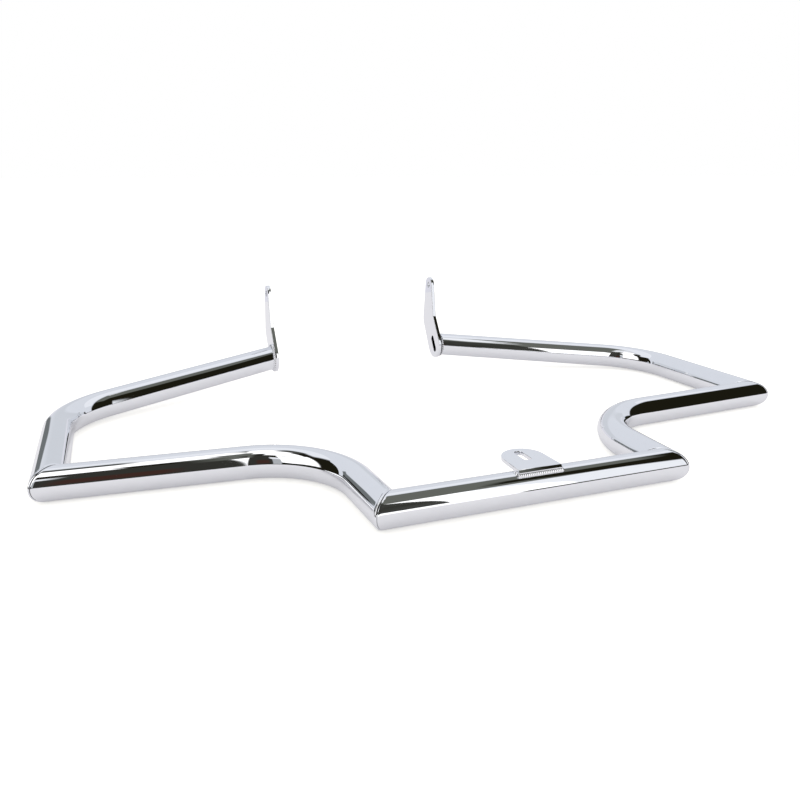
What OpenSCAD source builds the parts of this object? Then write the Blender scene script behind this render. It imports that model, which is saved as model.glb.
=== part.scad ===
// Crash bars for a motorcycle: one loop of plated steel tube with mitred front corners,
// two upright plates on the arm ends and a slotted tab on the crossbar.
// The loop lies flat, as it rests on a floor. +X is the rider's right, +Y runs from the
// crossbar back to the plates and +Z is up. The origin is under the middle of the whole part.

/* [Tube] */
// Outside diameter of the tube
tube_od = 32; // [28:1:36]
// Wall of the tube
tube_wall = 2.5; // [1.6:0.1:3.5]
// Centre-line radius of every bend
bend_r = 91; // [70:1:98]

/* [Loop] */
// Length of the crossbar along its axis, mitre corner to mitre corner
crossbar_len = 283; // [240:1:340]
// Axis length from the crossbar's mitre corner to the point where leg and wing axes cross
leg_len = 142.5; // [130:0.5:180]
// Splay of each leg away from the middle, in degrees
leg_splay = 2.5; // [0:0.5:8]
// Axis length from that crossing point to the outer mitre corner
wing_len = 254.5; // [220:0.5:320]
// Backward sweep of each wing, in degrees
wing_sweep = 4; // [0:0.5:8]
// Axis length from the outer mitre corner to the point where side and arm axes cross
side_len = 207; // [170:1:250]
// Lean of each side towards the middle, in degrees
side_lean = 1.5; // [0:0.5:10]
// Angle of each arm behind the crossbar's direction, in degrees
arm_angle = 25.5; // [20:0.5:34]
// How far each arm climbs on its way to the plate
arm_lift = 15.5; // [5:0.5:24]

/* [End plates] */
// Clear distance between the two plates
plate_gap = 240; // [200:1:260]
// Thickness of the plates
plate_t = 5; // [4:0.5:6]
// Radius of the foot that covers the tube's end
foot_r = 20.5; // [19:0.5:23]
// Radius of the outer curve at the elbow
elbow_r = 19; // [15:0.5:20]
// Radius of the eye at the top
eye_r = 11; // [9:0.5:14]
// Slope length from the foot's centre to the elbow's centre
shank_len = 40; // [36:0.5:60]
// Backward lean of that lower length, in degrees
shank_lean = 32.5; // [24:0.5:44]
// Length from the elbow's centre to the eye's centre
neck_len = 52; // [40:1:65]
// Backward lean of that upper length, in degrees
neck_lean = 1; // [-6:0.5:8]
// Diameter of the bolt hole in the eye
eye_hole_d = 8.4; // [6.6:0.2:11]
// Width of the slot in the foot
foot_slot_w = 9; // [7:0.5:12]
// End-to-end length of the slot in the foot
foot_slot_len = 25; // [20:1:30]

/* [Centre tab] */
// Thickness of the tab
tab_t = 4; // [3:0.5:6]
// Width of the tab's root on the crossbar
tab_root_w = 43; // [42:1:60]
// Radius of the tab's nose
tab_nose_r = 20.5; // [16:0.5:20.5]
// How far the tab's front edge sits in front of the top line of the crossbar
tab_lap = 7.5; // [2:0.5:8]
// Distance from the tab's front edge to the nose's centre
tab_reach = 30; // [20:1:40]
// Width of the tab's slot
tab_slot_w = 8; // [7:0.5:11]
// End-to-end length of the tab's slot
tab_slot_len = 23; // [14:1:28]
// How far the middle of the tab's slot sits past the nose's centre
tab_slot_past = 2; // [-4:1:6]

/* [Welds] */
// Width of the welded seam at each mitre corner, ground flush
seam_w = 2; // [1:0.5:3]
// Radius of the ripples along the welds of the plates and the tab
ripple_r = 3; // [2:0.25:4]
// Spacing of those ripples
ripple_pitch = 3.4; // [2.4:0.2:5]

/* [Hidden] */
$fn = 96;
tube_r = tube_od / 2;
bore_r = tube_r - tube_wall;
chrome = "gainsboro";
weld_colour = "silver";

// Bending draws the tube this much slimmer in radius, and each straight covers its end of the bend
bend_draw = 0.05;
bend_cover = 1;

// Directions of travel round the right half of the loop, in degrees from +X
leg_dir = 90 - leg_splay;
wing_dir = wing_sweep;
side_dir = 90 + side_lean;
arm_dir = 180 - arm_angle;
leg_turn = leg_dir - wing_dir;
arm_turn = arm_dir - side_dir;

function heading(a) = [cos(a), sin(a), 0];

// Corners of the right half, on the tube's axis and measured from the middle of the crossbar
lower_corner = [crossbar_len / 2, 0, 0];
leg_cross = lower_corner + leg_len * heading(leg_dir);
outer_corner = leg_cross + wing_len * heading(wing_dir);
arm_cross = outer_corner + side_len * heading(side_dir);
plate_face = plate_gap / 2 + plate_t;
arm_len = (arm_cross[0] - plate_face) / cos(arm_angle);
arm_end = arm_cross + arm_len * heading(arm_dir);
arm_roll = asin(arm_lift / (arm_len * sin(arm_turn)));
// The plate's foot is centred where the arm's axis would leave its inner face
foot_at = [plate_gap / 2, arm_end[1] + plate_t * tan(arm_angle), arm_lift];

// Centres on the plate, as distances behind and above the foot's centre
function lean(len, a) = [len * sin(a), len * cos(a)];
elbow_at = lean(shank_len, shank_lean);
eye_at = elbow_at + lean(neck_len, neck_lean);

// The tab's outline: straight edges from its root's corners that run tangent into a round nose
function left_of(p) = [-p[0], p[1]];
tab_corner = [tab_root_w / 2, 0];
tab_nose = [0, tab_reach];
to_nose = norm(tab_nose - tab_corner);
tab_edge_dir = atan2(tab_reach, -tab_corner[0]) - asin(tab_nose_r / to_nose);
tab_edge = [cos(tab_edge_dir), sin(tab_edge_dir)];
tab_tangent = tab_corner + sqrt(to_nose * to_nose - tab_nose_r * tab_nose_r) * tab_edge;
// Height of the tube's surface under the tab's front edge, from the underside of the tab
tab_drop = sqrt(tube_r * tube_r - tab_lap * tab_lap) - tube_r;

rearmost = foot_at[1] + max(elbow_at[0] + elbow_r, eye_at[0] + eye_r);
loop_to_frame = [0, (tube_r - rearmost) / 2, tube_r];

// How far raw bars run past a mitre corner before they are cut, and the size of the cutting blocks
spare = 2 * tube_od;
far = 4 * tube_od;
hair = 0.02;

// A round bar along X from one place to another
module along_x(from, to, r) {
    translate([from, 0, 0]) rotate([0, 90, 0]) cylinder(h = to - from, r = r);
}

// A bar that runs along X, turns left by an angle and runs on, with both ends too long
module bent_bar(first, turn, second, r, extra) {
    tangent = bend_r * tan(turn / 2);
    along_x(-extra, first - tangent + bend_cover, r);
    translate([first - tangent, bend_r, 0]) rotate([0, 0, -90])
        rotate_extrude(angle = turn) translate([bend_r, 0]) circle(r - bend_draw);
    translate([first, 0, 0]) rotate([0, 0, turn]) along_x(tangent - bend_cover, second + extra, r);
}

// The block of space in front of a mitre plane that faces a direction, from an offset on
module ahead_of(corner, facing, offset) {
    translate(corner) rotate([0, 0, facing]) translate([offset, -far, -far]) cube([far, 2 * far, 2 * far]);
}

module behind(corner, facing, offset) {
    ahead_of(corner, facing + 180, offset);
}

module on_loop() {
    translate(loop_to_frame) children();
}

module both_sides() {
    children();
    mirror([1, 0, 0]) children();
}

module crossbar() {
    color(chrome) on_loop() difference() {
        along_x(-lower_corner[0] - spare, lower_corner[0] + spare, tube_r);
        along_x(-lower_corner[0] - 2 * spare, lower_corner[0] + 2 * spare, bore_r);
        both_sides() ahead_of(lower_corner, leg_dir / 2, -seam_w / 2);
    }
}

module wing_bar(r, extra) {
    translate(lower_corner) rotate([0, 0, leg_dir]) mirror([0, 1, 0])
        bent_bar(leg_len, leg_turn, wing_len, r, extra);
}

module wing_tube() {
    color(chrome) on_loop() difference() {
        wing_bar(tube_r, spare);
        wing_bar(bore_r, 2 * spare);
        behind(lower_corner, leg_dir / 2, -seam_w / 2);
        ahead_of(outer_corner, (wing_dir + side_dir) / 2, -seam_w / 2);
    }
}

module arm_bar(r, extra) {
    translate(outer_corner) rotate([0, 0, side_dir]) rotate([arm_roll, 0, 0])
        bent_bar(side_len, arm_turn, arm_len, r, extra);
}

module arm_tube() {
    color(chrome) on_loop() difference() {
        arm_bar(tube_r, spare);
        arm_bar(bore_r, 2 * spare);
        behind(outer_corner, (wing_dir + side_dir) / 2, -seam_w / 2);
        behind_plate();
    }
}

// All that lies inboard of the plate's outer face, round the arm's end
module behind_plate() {
    behind([plate_face, arm_end[1], 0], 0, 0);
}

function ellipse(a, b) = [for (i = [0 : $fn - 1]) [a * cos(360 * i / $fn), b * sin(360 * i / $fn)]];

// The weld that fills a mitre: a band of the tube's cut section, flush with the tube on each side
module mitre_weld(corner, facing, half_turn) {
    inward = seam_w / 2 * tan(half_turn);
    color(weld_colour) on_loop() translate(corner) rotate([0, 0, facing]) rotate([90, 0, 90])
        translate([inward, 0, -seam_w / 2]) linear_extrude(seam_w) difference() {
            polygon(ellipse(tube_r / cos(half_turn), tube_r));
            polygon(ellipse(bore_r / cos(half_turn), bore_r));
        }
}

module lower_corner_weld() {
    mitre_weld(lower_corner, leg_dir / 2, leg_dir / 2);
}

module outer_corner_weld() {
    mitre_weld(outer_corner, (wing_dir + side_dir) / 2, (side_dir - wing_dir) / 2);
}

// Two discs joined by their outer tangents, which are set in by a hair so that they cut the discs cleanly
module strap(a, ra, b, rb) {
    gap = norm(b - a);
    along = atan2(b[1] - a[1], b[0] - a[0]);
    spread = acos((ra - rb) / gap);
    translate(a) circle(ra);
    translate(b) circle(rb);
    polygon([for (s = [[a, ra, -1], [b, rb, -1], [b, rb, 1], [a, ra, 1]])
        s[0] + (s[1] - hair) * [cos(along + s[2] * spread), sin(along + s[2] * spread)]]);
}

module plate_outline() {
    slot_half = (foot_slot_len - foot_slot_w) / 2;
    difference() {
        union() {
            strap([0, 0], foot_r, elbow_at, elbow_r);
            strap(elbow_at, elbow_r, eye_at, eye_r);
        }
        strap(lean(-slot_half, shank_lean), foot_slot_w / 2, lean(slot_half, shank_lean), foot_slot_w / 2);
        translate(eye_at) circle(eye_hole_d / 2);
    }
}

module end_plate() {
    color(chrome) on_loop() translate(foot_at)
        rotate([90, 0, 90]) linear_extrude(plate_t) plate_outline();
}

// Welds made of overlapping ripples: a closed ring round the arm's end, and a run along the tab
module plate_weld() {
    a = tube_r / cos(arm_angle);
    count = round(PI * (a + tube_r) / ripple_pitch);
    color(weld_colour) on_loop() difference() {
        for (i = [0 : count - 1])
            translate([plate_face, arm_end[1] + a * cos(360 * i / count), arm_lift + tube_r * sin(360 * i / count)])
                sphere(ripple_r);
        arm_bar(tube_r, spare);
        behind_plate();
    }
}

module tab_outline() {
    slot_at = tab_nose + [0, tab_slot_past];
    slot_half = [0, (tab_slot_len - tab_slot_w) / 2];
    difference() {
        union() {
            translate(tab_nose) circle(tab_nose_r);
            polygon([left_of(tab_corner), tab_corner, tab_tangent, left_of(tab_tangent)]);
        }
        strap(slot_at - slot_half, tab_slot_w / 2, slot_at + slot_half, tab_slot_w / 2);
    }
}

module on_tab_root() {
    on_loop() translate([0, -tab_lap, tube_r]) children();
}

module centre_tab() {
    color(chrome) on_tab_root() linear_extrude(tab_t) tab_outline();
}

// Along the tab's front edge and round both of its corners, where the tube still lies close below
module tab_weld() {
    count = round(tab_root_w / ripple_pitch);
    color(weld_colour) difference() {
        on_tab_root() translate([0, 0, tab_drop]) {
            for (i = [0 : count]) translate([tab_root_w * (i / count - 0.5), 0, 0]) sphere(ripple_r);
            for (side = [-1, 1]) translate([side * tab_root_w / 2, ripple_pitch, 0]) sphere(ripple_r);
        }
        on_tab_root() translate([-tab_root_w / 2, 0, -tube_od]) cube([tab_root_w, tab_reach, 2 * tube_od]);
        on_loop() along_x(-lower_corner[0], lower_corner[0], tube_r);
    }
}

crossbar();
wing_tube();  // right_wing_tube
mirror([1, 0, 0]) wing_tube();  // left_wing_tube
arm_tube();  // right_arm_tube
mirror([1, 0, 0]) arm_tube();  // left_arm_tube
lower_corner_weld();  // right_lower_corner_weld
mirror([1, 0, 0]) lower_corner_weld();  // left_lower_corner_weld
outer_corner_weld();  // right_outer_corner_weld
mirror([1, 0, 0]) outer_corner_weld();  // left_outer_corner_weld
end_plate();  // right_end_plate
mirror([1, 0, 0]) end_plate();  // left_end_plate
plate_weld();  // right_plate_weld
mirror([1, 0, 0]) plate_weld();  // left_plate_weld
centre_tab();
tab_weld();
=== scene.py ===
# %% [markdown]
# # Chromed crash bars
#
# This lesson dresses a motorcycle's crash bars: a loop of bent tube with mitred corners,
# two upright plates and a slotted tab, all plated with bright chrome. The solids come
# packed from the workshop in metres, so whatever is made here goes where they say.

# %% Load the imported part
import bmesh
import bpy
import random
from functools import reduce
from math import cos, degrees, pi, radians, sin, tan
from mathutils import Matrix, Vector
from operator import mul

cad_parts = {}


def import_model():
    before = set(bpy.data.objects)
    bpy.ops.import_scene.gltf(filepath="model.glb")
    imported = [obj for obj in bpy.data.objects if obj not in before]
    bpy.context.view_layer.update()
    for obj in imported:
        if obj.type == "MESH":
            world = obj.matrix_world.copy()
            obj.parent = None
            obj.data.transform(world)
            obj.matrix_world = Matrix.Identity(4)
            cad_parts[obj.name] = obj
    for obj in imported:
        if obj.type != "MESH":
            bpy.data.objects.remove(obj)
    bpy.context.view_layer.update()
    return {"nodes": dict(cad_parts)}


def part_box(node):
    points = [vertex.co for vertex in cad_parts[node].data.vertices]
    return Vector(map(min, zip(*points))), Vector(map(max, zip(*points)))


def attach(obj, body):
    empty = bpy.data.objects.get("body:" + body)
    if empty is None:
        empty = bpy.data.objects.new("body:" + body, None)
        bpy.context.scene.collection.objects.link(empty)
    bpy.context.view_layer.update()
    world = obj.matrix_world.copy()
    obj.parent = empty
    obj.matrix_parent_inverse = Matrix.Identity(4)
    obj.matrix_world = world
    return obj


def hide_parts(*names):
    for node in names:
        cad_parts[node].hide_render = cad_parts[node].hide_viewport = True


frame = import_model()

print("nodes:", ", ".join(sorted(frame["nodes"])))

# %% [markdown]
# ## Sizes
#
# Every piece is worked out from a few sizes that a fitter could measure: the tube, the
# lengths between the corners of its centre line, and the angles at those corners. The
# origin lies on the floor under the middle of the part, +X is the rider's right and +Y
# runs from the crossbar back to the plates.

# %% Sizes of the loop, in metres and radians
MM = 0.001
TUBE_R = 16 * MM
WALL = 2.5 * MM
BEND_R = 91 * MM
CROSSBAR = 283 * MM
LEG = 142.5 * MM
WING = 254.5 * MM
SIDE = 207 * MM
LEG_DIR = radians(87.5)
WING_DIR = radians(4)
SIDE_DIR = radians(91.5)
ARM_DIR = radians(180 - 25.5)
ARM_LIFT = 15.5 * MM
PLATE_GAP = 240 * MM
PLATE_T = 5 * MM
SEAM = 2 * MM

# %% Where the loop's centre line turns
def heading(angle):
    """The level direction at an angle from +X."""
    return Vector((cos(angle), sin(angle), 0))


crossbar_low = Vector(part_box("crossbar")[0])
MIDDLE = Vector((0, crossbar_low.y + TUBE_R, crossbar_low.z + TUBE_R))
LOWER_CORNER = MIDDLE + Vector((CROSSBAR / 2, 0, 0))
OUTER_CORNER = LOWER_CORNER + LEG * heading(LEG_DIR) + WING * heading(WING_DIR)
ARM_CROSS = OUTER_CORNER + SIDE * heading(SIDE_DIR)
PLATE_FACE = PLATE_GAP / 2 + PLATE_T
ARM = (ARM_CROSS.x - PLATE_FACE) / -cos(ARM_DIR)
ARM_END = ARM_CROSS + ARM * heading(ARM_DIR) + Vector((0, 0, ARM_LIFT))
print("outer corner %.3f, %.3f and arm's end %.3f, %.3f, %.3f" % (*OUTER_CORNER.xy, *ARM_END))

# %% [markdown]
# ## The camera
#
# The photograph was taken from the front left, a little above the loop, at about a metre.
# A camera is three directions and a place: where it looks, what is right of it and what
# is up. Written out so, the matrix needs no target object and no constraint. Its place is
# counted from the floor under the crossbar's middle.

# %% Camera
CAMERA_FROM_BAR = Vector((-345.0, -551.0, 285.9)) * MM
CAMERA_AT = Vector((0, MIDDLE.y, 0)) + CAMERA_FROM_BAR
LOOK_TURN = radians(21.39)
LOOK_DOWN = radians(16.65)
ROLL = radians(0.14)
FOCAL_PX = 778.93
IMAGE_PX = 800
SENSOR = 36

look = Vector((sin(LOOK_TURN) * cos(LOOK_DOWN), cos(LOOK_TURN) * cos(LOOK_DOWN), -sin(LOOK_DOWN)))
level_right = Vector((cos(LOOK_TURN), -sin(LOOK_TURN), 0))
level_up = level_right.cross(look)
right = cos(ROLL) * level_right + sin(ROLL) * level_up
up = cos(ROLL) * level_up - sin(ROLL) * level_right

camera = bpy.data.objects.new("camera", bpy.data.cameras.new("camera"))
camera.data.sensor_width = SENSOR
camera.data.lens = FOCAL_PX / IMAGE_PX * SENSOR
camera.data.clip_start = 0.01
camera.matrix_world = Matrix((right, up, -look)).transposed().to_4x4()
camera.location = CAMERA_AT
bpy.context.scene.collection.objects.link(camera)
bpy.context.scene.camera = camera
print("camera %.0f mm from the origin, lens %.1f mm" % (CAMERA_AT.length / MM, camera.data.lens))

# %% [markdown]
# ## Nodes written as expressions
#
# A material is a small sum done at every point. Joining node boxes by hand hides that sum,
# so a thin wrapper round a socket lets Python's own operators add the Math nodes, and the
# reflected forms make `1 - mask` work as well as `mask - 1`.

# %% A wrapper for sockets
class Value:
    """A socket that holds a number, with Python's operators on it."""

    def __init__(self, tree, socket):
        self.tree = tree
        self.socket = socket

    def math(self, operation, *others, clamp=False):
        values = [self, *others]
        settings = {"operation": operation, "use_clamp": clamp}
        return self.tree.node("ShaderNodeMath", settings, values)

    def __add__(self, other):
        return self.math("ADD", other)

    def __sub__(self, other):
        return self.math("SUBTRACT", other)

    def __mul__(self, other):
        return self.math("MULTIPLY", other)

    def __radd__(self, other):
        return self + other

    def __rsub__(self, other):
        return (self - other) * -1

    def __rmul__(self, other):
        return self * other

    def clamped(self):
        return self.math("ADD", 0, clamp=True)


class Tree:
    """A node tree and the one method that makes its nodes."""

    def __init__(self, owner):
        owner.use_nodes = True
        self.nodes = owner.node_tree.nodes
        self.links = owner.node_tree.links
        self.nodes.clear()

    def node(self, kind, settings=None, inputs=None, output=0):
        """Adds a node: its settings first, then a value or a link for each socket."""
        made = self.nodes.new(kind)
        for name, setting in (settings or {}).items():
            setattr(made, name, setting)
        pairs = inputs.items() if isinstance(inputs, dict) else enumerate(inputs or [])
        for key, value in pairs:
            if isinstance(value, Value):
                self.links.new(value.socket, made.inputs[key])
            else:
                made.inputs[key].default_value = value
        return Value(self, made.outputs[output]) if made.outputs else made


# The Mix node has a set of sockets for each kind of data, and these are the colour ones.
MIX_SHARE = 0
MIX_LOW = 6
MIX_HIGH = 7
MIX_RESULT = 2


def blend(tree, share, low, high):
    """A colour between two colours, by a share from 0 to 1."""
    values = {MIX_SHARE: share, MIX_LOW: low, MIX_HIGH: high}
    return tree.node("ShaderNodeMix", {"data_type": "RGBA"}, values, output=MIX_RESULT)

# %% [markdown]
# ## The studio
#
# Chrome has no colour of its own: it shows the room. This one is read back from the tube,
# where each band is one thing in the studio. A white window stands before the crossbar,
# another on the left and a white light lies overhead. Behind the part hangs a
# pale backdrop, and between them is the dark of the room. The walls are close, so their
# edges shift from one tube to the next, which a distant sky can't show. The room is
# therefore a real box, and each light is a block of space that paints the walls inside it.
# A dark stand before the window is nearer than the wall, so it is a thin box of its own.

# %% The room, in metres from the middle of the crossbar
ROOM = ((-1.2, 1.75), (-0.5, 1.15), (-0.02, 1.3))
ALL_X, ALL_Y, ALL_Z = ROOM
FRONT = (-0.5, -0.49)
BACK = (1.14, 1.15)
TOP = (1.29, 1.3)
LEFT = (-1.2, -1.19)

DARK = (0.012, 0.011, 0.006, 1)
GLOOM = (0.036, 0.036, 0.031, 1)
RUSTY = (0.055, 0.026, 0.020, 1)
MURK = (0.075, 0.078, 0.072, 1)
DIM = (0.145, 0.152, 0.135, 1)
LOW_WALL = (0.17, 0.185, 0.19, 1)
PALE_STRIP = (0.47, 0.49, 0.51, 1)
BACKDROP_FOOT = (0.68, 0.71, 0.76, 1)
SWEEP = (0.80, 0.80, 0.87, 1)
BACKDROP = (0.78, 0.81, 0.87, 1)
BACKDROP_TOP = (0.92, 0.945, 1.0, 1)
PALE_WHITE = (0.98, 1.0, 1.04, 1)
WHITE = (1.5, 1.5, 1.5, 1)

# The stand's reach in x, y and z.
STAND = ((-0.195, 0.032), (-0.31, -0.30), (0.045, 1.0))

# What each is, its colour, its reach in x, y and z, and how soft its edges are. A block
# covers the ones above it.
LIGHTS = [
    ("backdrop", BACKDROP, ALL_X, BACK, ALL_Z, 0.10),
    ("backdrop's right side", BACKDROP, (-0.40, 1.75), (0.45, 1.15), ALL_Z, 0.08),
    ("backdrop's top", BACKDROP_TOP, (-1.0, 1.75), (0.55, 1.15), TOP, 0.20),
    ("backdrop's foot", BACKDROP_FOOT, (-0.60, 1.75), BACK, (-0.02, 0.42), 0.25),
    ("backdrop's sweep", SWEEP, (-0.60, 1.75), BACK, (-0.02, 0.12), 0.024),
    ("low wall behind on the left", LOW_WALL, (-0.92, -0.72), BACK, (-0.02, 0.50), 0.04),
    ("its lower part", LOW_WALL, (-0.78, -0.595), BACK, (-0.02, 0.21), 0.03),
    ("dark thing behind on the left", DARK, (-0.93, -0.82), BACK, (0.14, 0.24), 0.03),
    ("ceiling on the right", DIM, (-0.30, 0.60), (-0.5, 0.44), TOP, 0.08),
    ("far ceiling on the right", DIM, (0.45, 1.12), (-0.12, 0.44), TOP, 0.10),
    ("pale gap in the ceiling", PALE_WHITE, (-0.08, 0.12), (-0.28, 0.44), TOP, 0.04),
    ("the gap's right part", PALE_WHITE, (0.08, 0.24), (0.02, 0.44), TOP, 0.04),
    ("ceiling light", WHITE, (-1.2, -0.47), (-0.5, 0.18), TOP, 0.04),
    ("ceiling light's middle", WHITE, (-0.68, -0.22), (-0.20, 0.10), TOP, 0.04),
    ("ceiling light's back", WHITE, (-0.68, -0.12), (0.02, 0.44), TOP, 0.04),
    ("lamp stand under the ceiling light", MURK, (-0.72, -0.38), (0.27, 0.60), TOP, 0.06),
    ("beam along the ceiling light", DARK, (-1.2, -0.20), (-0.5, -0.44), TOP, 0.02),
    ("wall by the camera", GLOOM, (-0.62, -0.2), FRONT, ALL_Z, 0.05),
    ("rust-red thing by the camera", RUSTY, (-0.54, -0.34), FRONT, (0.08, 0.40), 0.06),
    ("wall over the window", DIM, (-0.26, 0.70), FRONT, (0.80, 1.3), 0.10),
    ("window's right end", PALE_WHITE, (0.30, 0.73), FRONT, (-0.02, 0.80), 0.08),
    ("window", WHITE, (-0.226, 0.34), FRONT, (-0.02, 0.80), 0.008),
    ("sill of the window", DARK, (0.24, 0.92), FRONT, (-0.02, 0.035), 0.02),
    ("left window's front", WHITE, (-1.2, -0.79), FRONT, (0.20, 1.3), 0.04),
    ("left window's side", WHITE, LEFT, (-0.5, 0.28), (0.20, 1.3), 0.08),
    ("window frame", PALE_STRIP, (-0.79, -0.60), FRONT, (0.02, 0.62), 0.02),
    ("small light over the camera", PALE_WHITE, (-0.80, -0.57), FRONT, (0.56, 0.80), 0.04),
]


# %% Walls painted by the blocks
SOFTEST = 0.2


def within(value, reach, whole, soft):
    """1 inside a reach and 0 outside it, with soft edges where it ends short of the wall."""
    share = None
    soft = min(soft, SOFTEST * (reach[1] - reach[0]))
    for edge, end, way in ((reach[0], whole[0], 1), (reach[1], whole[1], -1)):
        if edge != end:
            step = ((value - edge) * (way / soft) + 0.5).clamped()
            share = step if share is None else share * step
    return share


def room_material():
    """Paints each block's light or shade, as glowing colour, on the stretch of wall that the block
    holds.
    """
    material = bpy.data.materials.new("studio_walls")
    tree = Tree(material)
    place = tree.node("ShaderNodeTexCoord", output="Object")
    split = tree.node("ShaderNodeSeparateXYZ", None, [place]).socket.node.outputs
    from_middle = [Value(tree, out) - shift for out, shift in zip(split, MIDDLE)]
    colour = DARK
    for _, paint, *reaches, soft in LIGHTS:
        sides = zip(from_middle, reaches, ROOM)
        masks = [within(value, reach, whole, soft) for value, reach, whole in sides]
        mask = reduce(mul, [mask for mask in masks if mask is not None])
        colour = blend(tree, mask, colour, paint)
    light = tree.node("ShaderNodeEmission", None, {"Color": colour, "Strength": 1.0})
    tree.node("ShaderNodeOutputMaterial", None, {"Surface": light})
    print("studio walls:", ", ".join(block[0] for block in LIGHTS))
    return material


# %% Things of the stage
# How many lighter patches the stand's dark glow has in a metre.
STAND_PATCHES = 6.0


def stage_piece(made, name, material):
    """Puts a bmesh on the stage, beside the part and not in it."""
    mesh = bpy.data.meshes.new(name)
    made.to_mesh(mesh)
    made.free()
    mesh.materials.append(material)
    thing = bpy.data.objects.new(name, mesh)
    bpy.context.scene.collection.objects.link(thing)
    return thing


def stand_material():
    """The stand's dark glow, a little lighter in patches at random."""
    material = bpy.data.materials.new("dark_stand")
    tree = Tree(material)
    place = tree.node("ShaderNodeTexCoord", output="Object")
    patches = tree.node("ShaderNodeTexNoise", None, {"Vector": place, "Scale": STAND_PATCHES})
    stand_glow = blend(tree, patches, DARK, MURK)
    light = tree.node("ShaderNodeEmission", None, {"Color": stand_glow, "Strength": 1.0})
    tree.node("ShaderNodeOutputMaterial", None, {"Surface": light})
    return material


def mirrored_box(name, reaches, material):
    """A box that only the chrome sees, given by its reach in x, y and z."""
    made = bmesh.new()
    bmesh.ops.create_cube(made, size=1)
    size = [high - low for low, high in reaches]
    centre = Vector([(low + high) / 2 for low, high in reaches])
    bmesh.ops.scale(made, vec=size, verts=made.verts)
    bmesh.ops.translate(made, vec=MIDDLE + centre, verts=made.verts)
    box = stage_piece(made, name, material)
    box.visible_camera = box.visible_diffuse = box.visible_shadow = False


mirrored_box("studio_room", ROOM, room_material())
mirrored_box("stand_before_the_window", STAND, stand_material())

# %% [markdown]
# ## The floor
#
# The part lies on a white sheet that was lit past white, so the eye sees pure white and only
# the faint shadow right under the tubes is left. The world gives the sheet its plain
# soft light, and the eye a little more, which lifts the sheet to white. In the chrome the
# sheet is a duller white than the windows, as in the photograph.

# %% World and floor
FLOOR_SIZE = 40
FLOOR_SEEN = (0.97, 0.955, 0.91, 1)
FLOOR_IN_CHROME = (0.66, 0.655, 0.68, 1)
NO_GLOW = (0, 0, 0, 1)
FLOOR_GLOW = (0.42, 0.42, 0.412, 1)
GLOW_IN_CHROME = (0.22, 0.218, 0.22, 1)


def world():
    """The plain white light all round."""
    sky = bpy.data.worlds.new("plain_light")
    bpy.context.scene.world = sky
    tree = Tree(sky)
    light = tree.node("ShaderNodeBackground", None, {"Color": (1, 1, 1, 1), "Strength": 1.0})
    tree.node("ShaderNodeOutputWorld", None, {"Surface": light})


def floor():
    """A white sheet that is one colour to the eye and another in the chrome."""
    made = bmesh.new()
    bmesh.ops.create_grid(made, x_segments=1, y_segments=1, size=FLOOR_SIZE / 2)
    material = bpy.data.materials.new("white_sheet")
    tree = Tree(material)
    seen = tree.node("ShaderNodeLightPath", output="Is Camera Ray")
    mirrored = tree.node("ShaderNodeLightPath", output="Is Glossy Ray")
    seen_glow = blend(tree, seen, NO_GLOW, FLOOR_GLOW)
    paper = tree.node("ShaderNodeBsdfPrincipled", None, {
        "Base Color": blend(tree, mirrored, FLOOR_SEEN, FLOOR_IN_CHROME),
        "Emission Color": blend(tree, mirrored, seen_glow, GLOW_IN_CHROME),
        "Emission Strength": 1.0, "Roughness": 1.0, "Specular IOR Level": 0.0})
    tree.node("ShaderNodeOutputMaterial", None, {"Surface": paper})
    stage_piece(made, "floor", material)
    print("white sheet", FLOOR_SIZE, "m across")


world()
floor()

# %% [markdown]
# ## Chrome
#
# Bright chrome is a hair of bluish metal over polished nickel. It is a metal with almost
# no roughness, and what tells it from a perfect mirror is its polish: faint long waves
# that the buffing wheel leaves and a slight haze where a cloth dragged dust. Both
# are small, so they go into roughness and a weak bump that follow Object coordinates.

# %% Chrome materials
CHROME = (0.86, 0.865, 0.885, 1)
WELD_CHROME = (0.82, 0.82, 0.84, 1)
BARE_STEEL = (0.10, 0.095, 0.09, 1)
DUST_SCALE = 90.0
DUST_SHARE = 0.5
DUSTY = 0.94


def metal(name, colour, roughness, haze, wave, waves):
    """A plated metal: a base colour, a haze in its roughness and waves in its surface."""
    material = bpy.data.materials.new(name)
    tree = Tree(material)
    place = tree.node("ShaderNodeTexCoord", output="Object")
    dust = tree.node("ShaderNodeTexNoise", None, {"Vector": place, "Scale": DUST_SCALE, "Detail": 4.0})
    swell = tree.node("ShaderNodeTexNoise", None, {"Vector": place, "Scale": waves, "Detail": 1.0})
    normal = tree.node("ShaderNodeBump", None, {"Strength": wave, "Distance": MM, "Height": swell})
    dusty = tuple(DUSTY * part for part in colour[:3]) + (1,)
    metal_shader = tree.node("ShaderNodeBsdfPrincipled", None, {
        "Base Color": blend(tree, DUST_SHARE * dust, colour, dusty), "Metallic": 1.0,
        "Roughness": roughness + haze * dust, "Normal": normal})
    tree.node("ShaderNodeOutputMaterial", None, {"Surface": metal_shader})
    return material


chrome = metal("polished_chrome", CHROME, roughness=0.02, haze=0.03, wave=0.03, waves=14.0)
weld_chrome = metal("chrome_over_weld", WELD_CHROME, roughness=0.12, haze=0.06, wave=0.05, waves=200.0)
bare_steel = metal("bare_steel", BARE_STEEL, roughness=0.55, haze=0.2, wave=0.3, waves=150.0)
print("materials:", chrome.name, weld_chrome.name, bare_steel.name)

# %% [markdown]
# ## Finishing a piece
#
# Each piece ends the same way: doubles merged, faces turned outwards, smooth shading with
# sharp edges kept where the metal has them, and a place in the part. The left half of the
# bars mirrors the right one, so tubes and welds are made as right ones and mirrored here.

# %% From a bmesh to a piece of the part
SHARP = radians(32)


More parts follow.
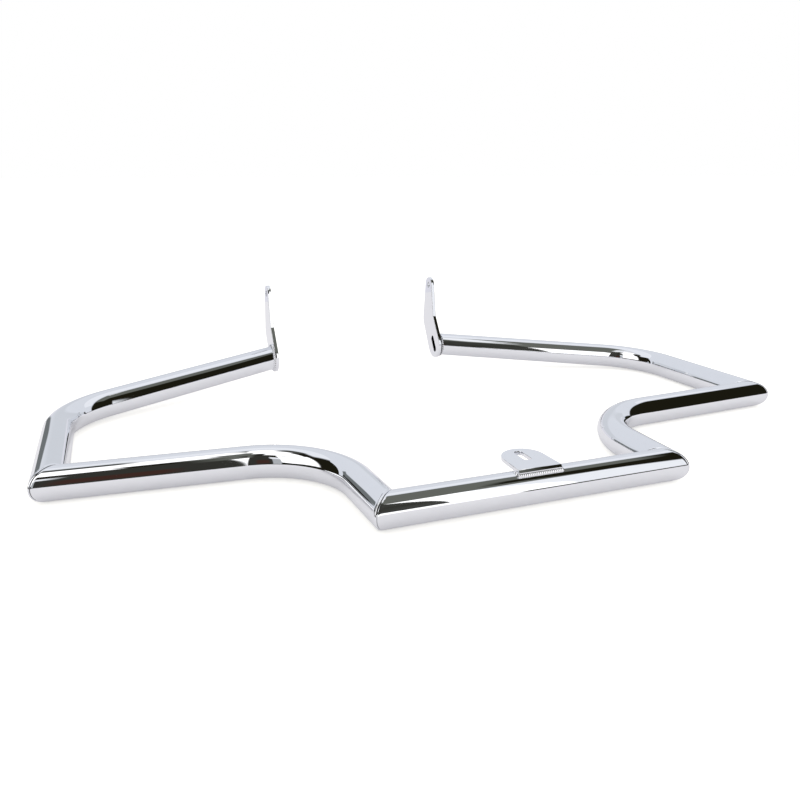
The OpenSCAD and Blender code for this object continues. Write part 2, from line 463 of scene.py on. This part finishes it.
def piece(made, name, material, nodes, side=1, sharp=SHARP):
    """Makes a bmesh a finished piece, mirrored on the left side. Its first finish is outside."""
    if side < 0:
        bmesh.ops.scale(made, vec=(-1, 1, 1), verts=made.verts)
        bmesh.ops.reverse_faces(made, faces=made.faces)
    mesh = bpy.data.meshes.new(name)
    made.to_mesh(mesh)
    made.free()
    mesh.polygons.foreach_set("use_smooth", [True] * len(mesh.polygons))
    if sharp is not None:
        mesh.set_sharp_from_angle(angle=sharp)
    finishes = material if isinstance(material, list) else [material]
    for finish in finishes:
        mesh.materials.append(finish)
    thing = bpy.data.objects.new(name, mesh)
    bpy.context.scene.collection.objects.link(thing)
    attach(thing, "root")
    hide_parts(*nodes)
    print(name, "has", len(mesh.polygons), "faces")
    return thing


SIDES = {"right": 1, "left": -1}

# %% [markdown]
# ## Drawing tube
#
# A tube bender takes a straight bar and turns it round a former. The same two moves make
# the mesh: a ring of edges is extruded along its heading, and spun about the former's
# centre at a bend. A bar starts and ends too long, and each end is sawn off by one plane.
# The bore is drawn in the same way with a smaller ring, and the saw's cut joins the two.
# Plating hardly reaches down a bore, so the bores of the wing and arm tubes take bare steel.

# %% A skin from extruded and spun rings
ROUND = 128
BEND_STEPS = 56
SPARE = 2 * TUBE_R
BORE_R = TUBE_R - WALL
UP = Vector((0, 0, 1))


def only(kind, geometry):
    """The verts, edges or faces among what an operator gives back."""
    return [g for g in geometry if isinstance(g, kind)]


def start_ring(made, at, along, radius):
    """A ring of edges square to a bar's way."""
    place = Matrix.Translation(at) @ along.to_track_quat("Z", "Y").to_matrix().to_4x4()
    ring = bmesh.ops.create_circle(made, segments=ROUND, radius=radius, matrix=place)
    return list({e for v in ring["verts"] for e in v.link_edges})


def straight(made, ring, step):
    """Draws the ring on by a step and gives back its far end."""
    grown = bmesh.ops.extrude_edge_only(made, edges=ring)["geom"]
    moved = set(only(bmesh.types.BMVert, grown))
    bmesh.ops.translate(made, vec=step, verts=list(moved))
    return [e for e in only(bmesh.types.BMEdge, grown) if set(e.verts) <= moved]


def bend(made, ring, centre, axis, angle):
    """Turns the ring round the former and gives back its far end."""
    both = ring + list({v for e in ring for v in e.verts})
    spun = bmesh.ops.spin(made, geom=both, cent=centre, axis=axis, angle=angle, steps=BEND_STEPS)
    return only(bmesh.types.BMEdge, spun["geom_last"])


def bar_skins(start, way, first, turn, axis, second):
    """The outer skin and the bore of a bar that is bent once, where its two lengths cross."""
    made = bmesh.new()
    tangent = BEND_R * tan(abs(turn) / 2)
    centre = start + (first - tangent) * way + (BEND_R if turn > 0 else -BEND_R) * axis.cross(way)
    next_way = Matrix.Rotation(turn, 3, axis) @ way
    for finish, radius in enumerate((TUBE_R, BORE_R)):
        drawn = set(made.faces)
        ring = start_ring(made, start - SPARE * way, way, radius)
        ring = straight(made, ring, (SPARE + first - tangent) * way)
        ring = bend(made, ring, centre, axis, turn)
        straight(made, ring, (second - tangent + SPARE) * next_way)
        for face in set(made.faces) - drawn:
            face.material_index = finish
    return made

# %% [markdown]
# A sawn end is filed before it is welded, so the rim's outer edge is rubbed round by
# a millimetre. That hair of roundness is what draws a thin line at a joint in
# chrome: it mirrors half the room in the width of a thread. Smooth shading would spread
# that roundness along the whole bar, so the saw first scores a line round the bar just
# behind the cut, and the bar stays true up to there.

# %% Sawing the ends
FILED = 1.5 * MM
FILE_STROKES = 3
SCORE = 2.5 * MM
ON_PLANE = 0.0001 * MM
SAME_PLACE = 0.001 * MM


def saw(made, at, facing, way):
    """Cuts off what lies in front of a plane, closes the wall there and files its outer edge."""

    def cut(place, clear):
        everything = made.verts[:] + made.edges[:] + made.faces[:]
        return bmesh.ops.bisect_plane(made, geom=everything, dist=ON_PLANE, plane_co=place,
                                      plane_no=facing, clear_outer=clear)["geom_cut"]

    cut(at - SCORE * facing, False)
    rims = only(bmesh.types.BMEdge, cut(at, True))
    bmesh.ops.bridge_loops(made, edges=rims)

    def from_axis(edge):
        arm = (edge.verts[0].co + edge.verts[1].co) / 2 - at
        return (arm - arm.dot(way) * way).length

    outer = [e for e in rims if from_axis(e) > (TUBE_R + BORE_R) / 2]
    bmesh.ops.bevel(made, geom=outer, offset=FILED, segments=FILE_STROKES, profile=0.5,
                    affect="EDGES", material=-1)


def tidy(made):
    """Merges doubles and turns every face outwards."""
    bmesh.ops.remove_doubles(made, verts=made.verts, dist=SAME_PLACE)
    bmesh.ops.recalc_face_normals(made, faces=made.faces)


# %% [markdown]
# ## The loop's five tubes
#
# The crossbar is a straight bar between two mitres. Each wing tube climbs a short leg from
# its mitre, bends outwards and runs to the outer corner. Each arm tube starts there as the
# side, bends in and climbs a little to its plate.

# %% Planes of the mitres
LOWER_FACING = heading(LEG_DIR / 2)
OUTER_FACING = heading((WING_DIR + SIDE_DIR) / 2)
HALF_SEAM = SEAM / 2
print("mitres face %.2f and %.2f degrees" % (degrees(LEG_DIR / 2), degrees((WING_DIR + SIDE_DIR) / 2)))

# %% Crossbar
bar = bmesh.new()
X = Vector((1, 0, 0))
for radius in (TUBE_R, BORE_R):
    ring = start_ring(bar, MIDDLE - (CROSSBAR / 2 + SPARE) * X, X, radius)
    straight(bar, ring, (CROSSBAR + 2 * SPARE) * X)
for side in SIDES.values():
    flip = Matrix.Scale(-1, 3, X) if side < 0 else Matrix.Identity(3)
    saw(bar, flip @ (LOWER_CORNER - HALF_SEAM * LOWER_FACING), flip @ LOWER_FACING, X)
tidy(bar)
piece(bar, "crossbar_tube", chrome, ["crossbar"])

# %% Wing tubes
for name, side in SIDES.items():
    wing = bar_skins(LOWER_CORNER, heading(LEG_DIR), LEG, WING_DIR - LEG_DIR, UP, WING)
    saw(wing, LOWER_CORNER + HALF_SEAM * LOWER_FACING, -LOWER_FACING, heading(LEG_DIR))
    saw(wing, OUTER_CORNER - HALF_SEAM * OUTER_FACING, OUTER_FACING, heading(WING_DIR))
    tidy(wing)
    piece(wing, name + "_wing", [chrome, bare_steel], [name + "_wing_tube"], side)

# %% Arm tubes
side_way = heading(SIDE_DIR)
arm_run = ARM_END - ARM_CROSS
arm_way = arm_run.normalized()
arm_axis = side_way.cross(arm_way).normalized()
arm_turn = side_way.angle(arm_run)
for name, side in SIDES.items():
    arm = bar_skins(OUTER_CORNER, side_way, SIDE, arm_turn, arm_axis, arm_run.length)
    saw(arm, OUTER_CORNER + HALF_SEAM * OUTER_FACING, -OUTER_FACING, side_way)
    saw(arm, Vector((PLATE_FACE, 0, 0)), -X, arm_way)
    tidy(arm)
    piece(arm, name + "_arm", [chrome, bare_steel], [name + "_arm_tube"], side)

# %% [markdown]
# ## Mitre seams
#
# At the four mitres the two tubes meet in an ellipse. The weld there was ground flush
# before plating, so what is left is a narrow band that rounds the corner. It is a row of
# elliptic rings: the saw's plane leans, so a ring is a circle stretched outwards by the
# lean, and it moves inwards with its distance from the mitre's middle.

# %% Seams
SEAM_RINGS = 8


def seam_ring(made, corner, facing, half_turn, along, radius):
    """One ring of the band, at a distance along the facing from the mitre's middle."""
    inward = UP.cross(facing) * (1 if half_turn > 0 else -1)
    slide = tan(abs(half_turn)) * (along * along + HALF_SEAM * HALF_SEAM) / (2 * HALF_SEAM)
    turn = Matrix((inward, UP, inward.cross(UP))).transposed().to_4x4()
    stretch = Matrix.Diagonal((1 / cos(half_turn), 1, 1, 1))
    place = Matrix.Translation(corner + along * facing + slide * inward) @ turn @ stretch
    ring = bmesh.ops.create_circle(made, segments=ROUND, radius=radius, matrix=place)
    return list({e for v in ring["verts"] for e in v.link_edges})


def seam(corner, facing, half_turn):
    """The band's outer skin, its bore and the two faces against the tubes."""
    made = bmesh.new()
    outside = [(HALF_SEAM * (2 * i / SEAM_RINGS - 1), TUBE_R) for i in range(SEAM_RINGS + 1)]
    inside = [(HALF_SEAM, BORE_R), (-HALF_SEAM, BORE_R)]
    rings = [seam_ring(made, corner, facing, half_turn, *place) for place in outside + inside]
    for first, second in zip(rings, rings[1:] + rings[:1]):
        bmesh.ops.bridge_loops(made, edges=first + second)
    tidy(made)
    return made


for name, side in SIDES.items():
    lower = seam(LOWER_CORNER, LOWER_FACING, LEG_DIR / 2)
    piece(lower, name + "_lower_seam", chrome, [name + "_lower_corner_weld"], side)
    outer = seam(OUTER_CORNER, OUTER_FACING, (SIDE_DIR - WING_DIR) / 2)
    piece(outer, name + "_outer_seam", chrome, [name + "_outer_corner_weld"], side)

# %% [markdown]
# ## Plates and tab
#
# The plates and the tab were cut from flat stock, and the polisher's wheel rounded their
# edges before plating. The cut shapes come from the workshop's solids. A copy of each is
# merged, its flat faces are joined up again, and the edges round the flats are rolled over.

# %% Rolled edges on a flat piece
FLAT = 0.999
WIDE = 12 * MM * MM
SAME_FACE = radians(0.5)
ROLL_STEPS = 4
PLATE_ROLL = 0.6 * MM


def joined_copy(node):
    """A copy of a solid's mesh with its triangles merged back into whole faces."""
    made = bmesh.new()
    made.from_mesh(frame["nodes"][node].data)
    bmesh.ops.remove_doubles(made, verts=made.verts, dist=SAME_PLACE)
    bmesh.ops.dissolve_limit(made, angle_limit=SAME_FACE, verts=made.verts, edges=made.edges)
    return made


def rolled(made, flat_way, roll):
    """Rolls the edges round the flats over. Only the small faces of a roll shade as one."""

    def is_outline(edge):
        flats = [abs(face.normal.dot(flat_way)) > FLAT for face in edge.link_faces]
        return len(flats) == 2 and flats[0] != flats[1]

    outline = [edge for edge in made.edges if is_outline(edge)]
    bmesh.ops.bevel(made, geom=outline, offset=roll, segments=ROLL_STEPS, profile=0.5,
                    affect="EDGES", material=-1)
    made.normal_update()
    for edge in made.edges:
        edge.smooth = all(face.calc_area() < WIDE for face in edge.link_faces)
    return made


for name in SIDES:
    plate = rolled(joined_copy(name + "_end_plate"), X, PLATE_ROLL)
    piece(plate, name + "_plate", chrome, [name + "_end_plate"], sharp=None)

# %% [markdown]
# The tab's front edge was ground to a slope to make room for the weld below it. The slope
# looks up at the dim ceiling, so it shows as a dark strip along the tab.

# %% Tab
TAB_SLOPE = 2.4 * MM
TAB_ROLL = 0.5 * MM
NEAR = 0.01 * MM
tab = joined_copy("centre_tab")
top = max(v.co.z for v in tab.verts)
front = min(v.co.y for v in tab.verts)
at_lip = {v for v in tab.verts if v.co.z > top - NEAR and v.co.y < front + NEAR}
lip = [e for e in tab.edges if set(e.verts) <= at_lip]
bmesh.ops.bevel(tab, geom=lip, offset=TAB_SLOPE, segments=1, profile=0.5, affect="EDGES", material=-1)
tab = rolled(tab, UP, TAB_ROLL)
piece(tab, "tab", chrome, ["centre_tab"], sharp=None)

# %% [markdown]
# ## Rippled welds
#
# These welds were left as laid. A welder moves in small steps, and each step freezes as
# one round ripple over the one before it. So a weld is a row of squashed balls, a little
# uneven, set along the line where plate and tube meet.

# %% Ripples along a line
RIPPLE_R = 3 * MM
RIPPLE_PITCH = 3.4 * MM
RIPPLE_SQUASH = 0.85
SMALLEST_RIPPLE = 0.93
RIPPLE_SIDES = 24
RIPPLE_RINGS = 16
dice = random.Random(7)


def ripple(made, at, along, radius=RIPPLE_R, thickness=1, lean=0):
    """One frozen step of the weld: a ball squashed along the weld's way, or flatter and leaning."""
    size = radius * dice.uniform(SMALLEST_RIPPLE, 1.0)
    turn = along.to_track_quat("Z", "Y").to_matrix().to_4x4() @ Matrix.Rotation(lean, 4, "Z")
    shape = Matrix.Diagonal((thickness * size, size, RIPPLE_SQUASH * size, 1))
    bmesh.ops.create_uvsphere(made, u_segments=RIPPLE_SIDES, v_segments=RIPPLE_RINGS, radius=1,
                              matrix=Matrix.Translation(at) @ turn @ shape)


def plate_weld():
    """Ripples round the ellipse in which the leaning arm meets its plate, cut off at the plate."""
    made = bmesh.new()
    half_width = TUBE_R / abs(cos(ARM_DIR))
    count = round(pi * (half_width + TUBE_R) / RIPPLE_PITCH)
    for i in range(count):
        angle = 2 * pi * i / count
        across = half_width * cos(angle)
        at = Vector((PLATE_FACE, ARM_END.y + across, ARM_END.z + TUBE_R * sin(angle)))
        ripple(made, at, Vector((0, -half_width * sin(angle), TUBE_R * cos(angle))))
    everything = made.verts[:] + made.edges[:] + made.faces[:]
    bmesh.ops.bisect_plane(made, geom=everything, plane_co=PLATE_FACE * X, plane_no=-X, clear_outer=True)
    return made


for name, side in SIDES.items():
    piece(plate_weld(), name + "_plate_bead", weld_chrome, [name + "_plate_weld"], side)

# %% [markdown]
# The weld under the tab's front edge is finer. It fills a wedge, so it lies as a steep slope
# from the tab down to the tube, and its steps are flat scales that lean back with the slope.
# Full ripples hold the tab's two sides.

# %% Weld along the tab
TAB_ROOT = 43 * MM
TAB_LAP = 7.5 * MM
SCALE_R = 2.0 * MM
SCALE_PITCH = 1.9 * MM
SCALE_THICKNESS = 0.4
SCALE_LEAN = radians(-24)
SCALE_AT = Vector((0, -8.0, 15.1)) * MM


def tab_weld():
    """Scales along the tab's front edge and two full ripples at each of its sides."""
    made = bmesh.new()
    front = MIDDLE + SCALE_AT
    count = round(TAB_ROOT / SCALE_PITCH)
    for i in range(count + 1):
        place = front + TAB_ROOT * (i / count - 0.5) * X
        ripple(made, place, X, SCALE_R, SCALE_THICKNESS, SCALE_LEAN)
    for side in SIDES.values():
        height = (TUBE_R ** 2 - TAB_LAP ** 2) ** 0.5
        corner = MIDDLE + Vector((side * TAB_ROOT / 2, -TAB_LAP, height))
        for step in (1, 2):
            ripple(made, corner + Vector((0, step * RIPPLE_PITCH, 0)), Vector((0, 1, 0)))
    return made


piece(tab_weld(), "tab_bead", weld_chrome, ["tab_weld"])

# %% [markdown]
# ## Colours as they are
#
# The Standard view shows a colour as it was chosen, and pure white stays white.

# %% View settings
bpy.context.scene.view_settings.view_transform = "Standard"
